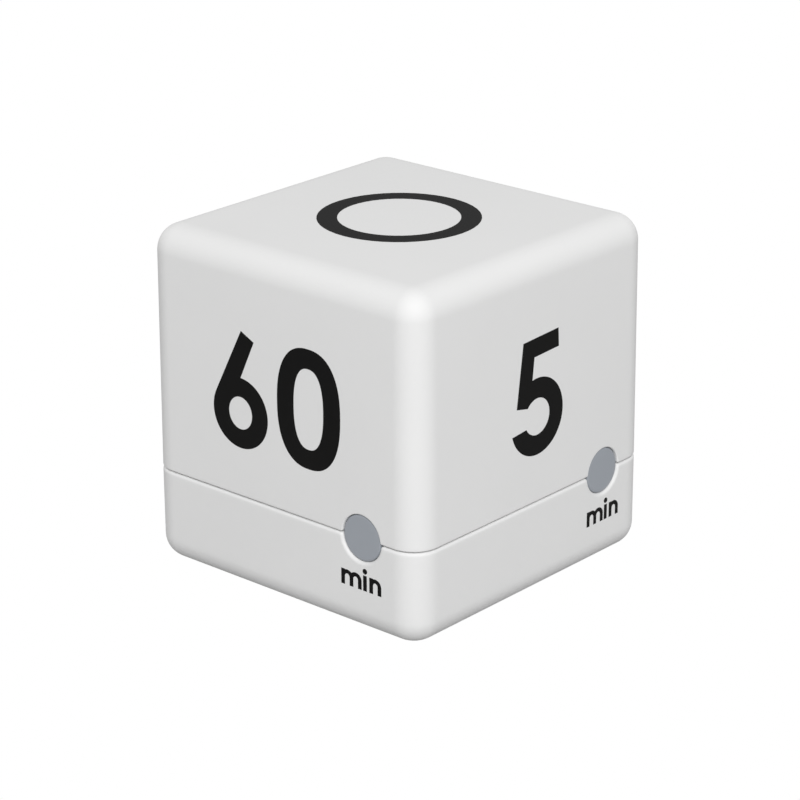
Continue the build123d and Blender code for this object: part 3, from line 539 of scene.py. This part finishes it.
def figure_five(middle, turn=2.7):
    """A bar, a stem and an open bowl; drawn upright and then turned a little if asked."""
    bowl = (middle, 32.6)
    outline = np.concatenate([
        [(middle - 3.1, 46.52), (middle + 6.1, 46.52), (middle + 6.1, 43.26), (middle - 0.35, 43.26)],
        arc(bowl, 6.8, 98.6, -166.1, 90),
        arc(bowl, 3.24, -153.0, 138.2, 60),
        [(middle - 5.25, 35.5)],
    ])
    lean = radians(turn)
    swing = np.array([[cos(lean), -sin(lean)], [sin(lean), cos(lean)]])
    return [(outline - bowl) @ swing.T + bowl]


def figure_one(right):
    """An upright with a slanted flag."""
    left = right - STROKE
    return [np.array([(right, 26.2), (right, 47.2), (right - 2.6, 47.2), (left - 3.6, 44.0),
                      (left - 3.6, 40.4), (left, 42.8), (left, 26.2)])]


def figure_three(middle):
    """Two open bowls, the upper one smaller, joined by a short bar."""
    low, high = (middle, 32.6), (middle, 41.65)
    return [np.concatenate([
        arc(high, 5.5, 160, -46.0, 60), arc(low, 6.4, 52.3, -163, 70),
        arc(low, 3.2, -163, 90, 60), [(middle - 1.8, 35.8), (middle - 1.8, 39.2)],
        arc(high, 2.45, -90, 160, 50),
    ])]


# %% The letters of "min"
LETTER = 0.8
X_HEIGHT = 2.75
HUMP = 1.3


def arched_letter(left, base_z, arches, gap):
    """A stem with one arch makes an n, and with two an m. Neighbouring arches meet above a stem."""
    pitch, outer = gap + LETTER, gap / 2 + LETTER
    spring = base_z + X_HEIGHT - HUMP
    middles = [left + LETTER + gap / 2 + pitch * k for k in range(arches)]
    first = degrees(acos(-gap / 2 / outer))
    meet = degrees(acos(pitch / 2 / outer))
    parts = [[(left, base_z), (left, base_z + X_HEIGHT), (left + LETTER, base_z + X_HEIGHT)]]
    for k, middle in enumerate(middles):
        hump = arc((0, 0), 1, 180 - meet if k else first, 0 if k == arches - 1 else meet, 24)
        parts.append(hump * (outer, HUMP) + (middle, spring))
    parts.append([(middles[-1] + outer, base_z)])
    for middle in reversed(middles):
        inside = arc((0, 0), 1, 0, 180, 24) * (gap / 2, HUMP - 0.72) + (middle, spring)
        parts += [[(middle + gap / 2, base_z)], inside, [(middle - gap / 2, base_z)]]
    return np.concatenate([np.array(part) for part in parts])


def word_min(start, base_z):
    """The unit under each window: m, i with its dot, and n."""
    left, right, top = start + 4.84, start + 4.84 + LETTER, base_z + X_HEIGHT
    return [
        arched_letter(start, base_z, 2, 1.05),
        np.array([(left, base_z), (right, base_z), (right, top), (left, top)]),
        disc(((left + right) / 2, top + 0.74), 0.49),
        arched_letter(start + 6.2, base_z, 1, 1.0),
    ]


prints = [
    printed("numeral_0", [disc((0, 0.15), 14.0), disc((0, 0.15), 10.5)]),
    printed("numeral_60", figure_six(-8.5) + figure_zero(7.0), 0, DRAFT),
    printed("numeral_5", figure_five(0.06), 1, DRAFT),
    printed("numeral_15", figure_one(-4.4) + figure_five(5.4, 0.0), 2, DRAFT),
    printed("numeral_30", figure_three(-8.1) + figure_zero(6.9), 3, DRAFT),
]
UNIT_AT = ((14.0, 8.07), (14.04, 7.9), (14.0, 8.0), (14.0, 8.0))
for quarter, minutes in enumerate(SIDES):
    start, base_z = UNIT_AT[quarter]
    prints.append(printed(f"unit_{minutes}", word_min(start, base_z), quarter))
print("printed:", [piece.name for piece in prints])

# %% [markdown]
# ## The display
#
# Under the clear lens lies a liquid crystal cell. Its figures are made of seven bars, each a long
# hexagon, and a bar that is on looks almost black against a grey-green ground. The display shows the
# stopped clock, because the 0 is turned upwards.

# %% Display bars
DIGIT_HEIGHT = 6.0
DIGIT_WIDTH = 3.3
BAR = 0.62
GLASS_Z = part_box("lcd_polariser")[0][2] / MM


def bar(start, end):
    """One display bar: a hexagon along the line from start to end, a little short of both."""
    start, end = np.array(start, float), np.array(end, float)
    way = (end - start) / np.linalg.norm(end - start)
    side = np.array([-way[1], way[0]]) * BAR / 2
    tip, shoulder = 0.08, BAR / 2 + 0.08
    return np.array([
        start + way * tip, start + way * shoulder + side, end - way * shoulder + side,
        end - way * tip, end - way * shoulder - side, start + way * shoulder - side,
    ])


def seven_bars(left, figure):
    """The bars of one figure, named a to g clockwise from the top, the middle one last."""
    top, middle, bottom = DIGIT_HEIGHT / 2, 0.0, -DIGIT_HEIGHT / 2
    right = left + DIGIT_WIDTH
    ends = {
        "a": ((left, top), (right, top)), "b": ((right, top), (right, middle)),
        "c": ((right, middle), (right, bottom)), "d": ((right, bottom), (left, bottom)),
        "e": ((left, bottom), (left, middle)), "f": ((left, middle), (left, top)),
        "g": ((left, middle), (right, middle)),
    }
    return [bar(*ends[name]) for name in figure]


bars = [disc((0, 1.2), 0.35), disc((0, -1.2), 0.35)]
for left in (-9.6, -5.0, 1.7, 6.3):
    bars += seven_bars(left, "abcdef")
lcd_figures = printed("lcd_figures", bars)
coordinates = np.empty(3 * len(lcd_figures.data.vertices))
lcd_figures.data.vertices.foreach_get("co", coordinates)
x, y, z = coordinates.reshape(-1, 3).T
under = np.column_stack([x + LENS_AT[0] * MM, LENS_AT[1] * MM - y, GLASS_Z * MM - (z - HEIGHT * MM)])
lcd_figures.data.vertices.foreach_set("co", under.ravel())
close_up(lcd_figures)
prints.append(lcd_figures)

# %% [markdown]
# ## Finishes
#
# Every finish is a Principled shader fed by noise in Object coordinates, so that it sits still on
# the piece. The noise does three quiet jobs: it shifts the colour a little, it changes the roughness
# from place to place, and through a bump it gives the skin that a mould's blasted steel leaves.

# %% One recipe for moulded, printed and metal surfaces
finishes = {}


def node_math(tree, kind, **inputs):
    """Adds a shader node and sets its inputs by name."""
    node = tree.nodes.new(kind)
    for name, value in inputs.items():
        node.inputs[name.replace("_", " ")].default_value = value
    return node


def finish(name, colour, roughness, shift=0.03, grain=900.0, depth=0.00002, spread=0.06, **shader):
    """A Principled surface whose colour, roughness and relief follow noise of one grain size."""
    material = bpy.data.materials.new(name)
    material.use_nodes = True
    tree = material.node_tree
    surface = tree.nodes["Principled BSDF"]
    place = tree.nodes.new("ShaderNodeTexCoord")
    broad = node_math(tree, "ShaderNodeTexNoise", Scale=60.0, Detail=3.0)
    fine = node_math(tree, "ShaderNodeTexNoise", Scale=grain, Detail=4.0, Roughness=0.6)
    for noise in (broad, fine):
        tree.links.new(place.outputs["Object"], noise.inputs["Vector"])
    tint = tree.nodes.new("ShaderNodeValToRGB")
    for stop, factor in zip(tint.color_ramp.elements, (1 - shift, 1 + shift)):
        stop.color = (*[min(1.0, channel * factor) for channel in colour], 1.0)
    tint.color_ramp.elements[0].position, tint.color_ramp.elements[1].position = 0.3, 0.7
    tree.links.new(broad.outputs["Fac"], tint.inputs["Fac"])
    tree.links.new(tint.outputs["Color"], surface.inputs["Base Color"])
    dull = node_math(tree, "ShaderNodeMapRange")
    dull.inputs["To Min"].default_value = max(0.02, roughness - spread)
    dull.inputs["To Max"].default_value = roughness + spread
    tree.links.new(fine.outputs["Fac"], dull.inputs["Value"])
    tree.links.new(dull.outputs["Result"], surface.inputs["Roughness"])
    relief = node_math(tree, "ShaderNodeBump", Strength=1.0, Distance=depth)
    tree.links.new(fine.outputs["Fac"], relief.inputs["Height"])
    tree.links.new(relief.outputs["Normal"], surface.inputs["Normal"])
    for socket, value in shader.items():
        surface.inputs[socket.replace("_", " ")].default_value = value
    finishes[name] = material
    return material


# %% The housing's plastics and the ink
finish("white_plastic", (0.745, 0.745, 0.743), 0.65, shift=0.006, grain=1500.0, depth=0.000005,
       Specular_IOR_Level=0.3)
finish("grey_window", (0.315, 0.338, 0.372), 0.32, shift=0.02, grain=2500.0, depth=0.000004,
       Coat_Weight=0.15, Coat_Roughness=0.2)
finish("printing_ink", (0.0022, 0.002, 0.0019), 0.5, shift=0.2, grain=3000.0, depth=0.000002,
       Specular_IOR_Level=0.15)
finish("black_plastic", (0.018, 0.018, 0.019), 0.45, shift=0.1)
finish("knob_plastic", (0.06, 0.062, 0.066), 0.5, shift=0.08, depth=0.00002)
finish("foam", (0.015, 0.015, 0.016), 0.95, shift=0.3, grain=2500.0, depth=0.0002)

# %% The display's layers
finish("clear_lens", (0.98, 0.99, 0.99), 0.05, shift=0.0, spread=0.01, depth=0.000001,
       Transmission_Weight=1.0, IOR=1.49)
finish("lcd_glass", (0.9, 0.95, 0.92), 0.05, shift=0.0, spread=0.01, depth=0.000001,
       Transmission_Weight=0.9, IOR=1.52)
finish("polariser_film", (0.36, 0.40, 0.33), 0.22, shift=0.02, depth=0.000001)
finish("reflector_film", (0.42, 0.46, 0.40), 0.3, shift=0.03)
finish("ribbon_film", (0.55, 0.30, 0.07), 0.25, shift=0.1)

# %% The board and what is on it
finish("board_laminate", (0.012, 0.13, 0.045), 0.3, shift=0.25, Coat_Weight=0.6, Coat_Roughness=0.15)
finish("epoxy", (0.012, 0.012, 0.013), 0.25, shift=0.2, grain=400.0)
finish("ceramic", (0.42, 0.27, 0.15), 0.5, shift=0.15)
finish("led_resin", (0.78, 0.78, 0.68), 0.2, shift=0.02, Transmission_Weight=0.3)
finish("header_glass", (0.05, 0.16, 0.11), 0.15, shift=0.1)
finish("magnet_ferrite", (0.035, 0.034, 0.036), 0.6, shift=0.3, grain=2500.0, depth=0.00003)
finish("copper_wire", (0.60, 0.22, 0.09), 0.3, shift=0.15, Metallic=1.0)

# %% Metals
finish("screw_steel", (0.56, 0.56, 0.57), 0.32, shift=0.1, spread=0.1, Metallic=1.0)
finish("spring_steel", (0.66, 0.66, 0.67), 0.26, shift=0.08, Metallic=1.0)
finish("sheet_steel", (0.60, 0.60, 0.60), 0.35, shift=0.08, spread=0.1, Metallic=1.0)
finish("soft_iron", (0.42, 0.42, 0.43), 0.4, shift=0.15, Metallic=1.0)
finish("gold_plate", (0.83, 0.58, 0.22), 0.22, shift=0.08, Metallic=1.0)
finish("cell_can", (0.68, 0.68, 0.69), 0.25, shift=0.05, Metallic=1.0)
finish("cell_jacket", (0.10, 0.16, 0.22), 0.28, shift=0.05, Coat_Weight=0.5, Coat_Roughness=0.1)
print("finishes:", len(finishes))

# %% [markdown]
# ## Dressing the frame
#
# Each engineering part takes the finish that its record names, and keeps it on its own mesh, so
# that the door and the knob carry their looks with them when they move. The parts that are replaced
# are hidden and handed over to the new pieces, which ride on the housing's body.

# %% Finishes onto the frame, and the new pieces onto their bodies
for name, node in nodes.items():
    node.data.materials.clear()
    node.data.materials.append(finishes[slot_of[name]])


def dress(piece, material, body, *stood_for):
    """Gives a new piece its finish and its body, and hides the engineering parts it stands for."""
    piece.data.materials.clear()
    piece.data.materials.append(finishes[material])
    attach(piece, body)
    if stood_for:
        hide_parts(*stood_for)


dress(upper, "white_plastic", "housing", "upper_shell")
dress(base, "white_plastic", "housing", "base_shell")
for minutes, window in windows.items():
    dress(window, "grey_window", "housing", f"light_window_{minutes}")
for piece in prints:
    dress(piece, "printing_ink", "housing")

# %% Smooth shading on the engineering parts that show
for name in ("battery_door", "display_lens", "switch_knob", "housing_screws", "door_screw"):
    weld = nodes[name].modifiers.new("weld", "WELD")
    weld.merge_threshold = 2e-6
    smooth = nodes[name].modifiers.new("shading", "WEIGHTED_NORMAL")
    smooth.keep_sharp = True

# %% [markdown]
# ## Floor and light
#
# One broad light stands near the lens and a little above it, so the edges that face the viewer are
# the brightest. Two low fills light the sides at the back, and an even sky does the rest. The lens
# sees neither floor nor sky: it looks through the floor sheet to plain white, while the light still
# bounces off the sheet. A door that opens downwards can therefore be seen as well.

# %% Floor
FLOOR_SIZE = 6000.0
FLOOR_TONE = 0.42
half = FLOOR_SIZE / 2
floor_mesh = bpy.data.meshes.new("floor")
floor_z = -0.05
floor_corners = ((-half, -half), (half, -half), (half, half), (-half, half))
floor_mesh.from_pydata([(x * MM, y * MM, floor_z * MM) for x, y in floor_corners], [], [(0, 1, 2, 3)])
floor = bpy.data.objects.new("floor", floor_mesh)
scene.collection.objects.link(floor)


def plain_to_the_lens(tree, lit, seen, out):
    """Mixes two shaders by the kind of ray: the lens meets the second, all other light the first."""
    kind = tree.nodes.new("ShaderNodeLightPath")
    mix = tree.nodes.new("ShaderNodeMixShader")
    tree.links.new(kind.outputs["Is Camera Ray"], mix.inputs["Fac"])
    tree.links.new(lit.outputs[0], mix.inputs[1])
    tree.links.new(seen.outputs[0], mix.inputs[2])
    tree.links.new(mix.outputs[0], out.inputs["Surface"])


paper = finish("floor_paper", (FLOOR_TONE, FLOOR_TONE, FLOOR_TONE), 0.9, shift=0.004, depth=0.0)
paper_tree = paper.node_tree
plain_to_the_lens(paper_tree, paper_tree.nodes["Principled BSDF"],
                  paper_tree.nodes.new("ShaderNodeBsdfTransparent"), paper_tree.nodes["Material Output"])
floor_mesh.materials.append(paper)

# %% Lights
TARGET = Vector((0, 0, 0.03))


def soft_light(name, heading, raise_angle, distance, size, power):
    """A square area light at a heading and height angle from the timer, facing it."""
    data = bpy.data.lights.new(name, "AREA")
    data.size, data.energy = size, power
    light = bpy.data.objects.new(name, data)
    h, r = radians(heading), radians(raise_angle)
    away = Vector((sin(h) * cos(r), -cos(h) * cos(r), sin(r)))
    light.location = TARGET + away * distance
    light.rotation_euler = away.to_track_quat("Z", "Y").to_euler()
    scene.collection.objects.link(light)


soft_light("front_box", heading=46, raise_angle=37, distance=1.4, size=0.8, power=17.3)
soft_light("back_fill_15", heading=188, raise_angle=12, distance=1.4, size=0.8, power=5.5)
soft_light("back_fill_30", heading=262, raise_angle=12, distance=1.4, size=0.8, power=5.5)
SKY_STRENGTH = 0.395
world = bpy.data.worlds.new("studio")
world.use_nodes = True
sky = world.node_tree.nodes["Background"]
sky.inputs["Color"].default_value = (1, 1, 1, 1)
sky.inputs["Strength"].default_value = SKY_STRENGTH
white = world.node_tree.nodes.new("ShaderNodeBackground")
white.inputs["Color"].default_value = (1, 1, 1, 1)
white.inputs["Strength"].default_value = 1.0
plain_to_the_lens(world.node_tree, sky, white, world.node_tree.nodes["World Output"])
scene.world = world
scene.view_settings.view_transform = "Standard"
scene.view_settings.look = "None"
